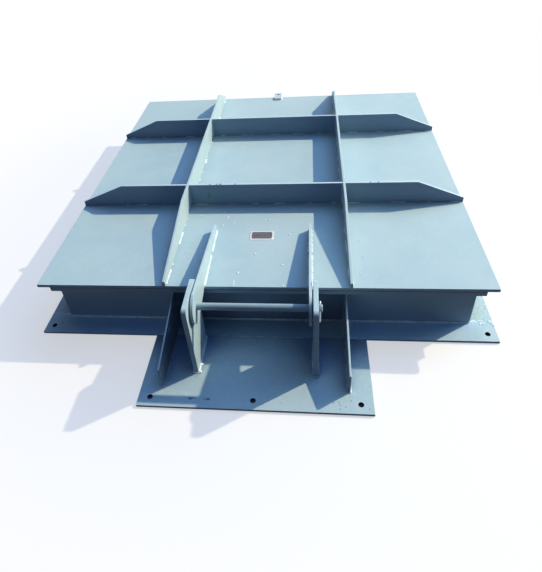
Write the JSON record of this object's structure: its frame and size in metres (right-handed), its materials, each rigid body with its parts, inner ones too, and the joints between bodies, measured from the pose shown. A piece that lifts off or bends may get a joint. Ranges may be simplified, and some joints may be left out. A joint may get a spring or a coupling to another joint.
{
  "type": "square steel flap gate",
  "caption": "Square steel flap gate: a ribbed plate leaf with rubber seals, hung by two arms on one pin over a welded box frame with a bolting flange.",
  "frame": {"origin": "middle of the square waterway on the underside of the mounting flange", "axes": "+Z out of the flange towards the leaf, +Y from the hinge to the far edge of the leaf, +X along the hinge pin"},
  "size_m": [2.084, 2.458, 0.4063],
  "materials": {
    "paint": "satin blue-grey paint",
    "rubber": "matt black seal rubber",
    "bare_steel": "turned steel",
    "plate_metal": "brushed"
  },
  "bodies": {
    "frame": {"mounting_flange_hinge": "paint", "mounting_flange_far": "paint", "mounting_flange_left": "paint", "mounting_flange_right": "paint", "box_wall_hinge": "paint", "box_wall_far": "paint", "box_wall_left": "paint", "box_wall_right": "paint", "seat_rim_hinge": "paint", "seat_rim_far": "paint", "seat_rim_left": "paint", "seat_rim_right": "paint", "hinge_base_plate": "paint", "base_gusset_left": "paint", "base_gusset_right": "paint", "hinge_bracket_left": "paint", "hinge_bracket_right": "paint", "hinge_pin": "paint", "cotter_pin_left": "bare_steel", "cotter_pin_right": "bare_steel"},
    "flap": {"leaf_plate": "paint", "seal_backing_hinge": "paint", "seal_backing_far": "paint", "seal_backing_left": "paint", "seal_backing_right": "paint", "seal_strip_hinge": "rubber", "seal_strip_far": "rubber", "seal_strip_left": "rubber", "seal_strip_right": "rubber", "cross_rib_near_left": "paint", "cross_rib_near_centre": "paint", "cross_rib_near_right": "paint", "cross_rib_far_left": "paint", "cross_rib_far_centre": "paint", "cross_rib_far_right": "paint", "long_rib_left": "paint", "long_rib_right": "paint", "hinge_arm_left": "paint", "hinge_arm_right": "paint", "lifting_lug": "paint", "nameplate": "plate_metal"}
  },
  "joints": [
    {"name": "flap_hinge", "type": "hinge", "parent": "frame", "child": "flap", "pos_m": [0, -1.146, 0.318], "axis": [1, 0, 0], "range_deg": [0, 90]}
  ]
}
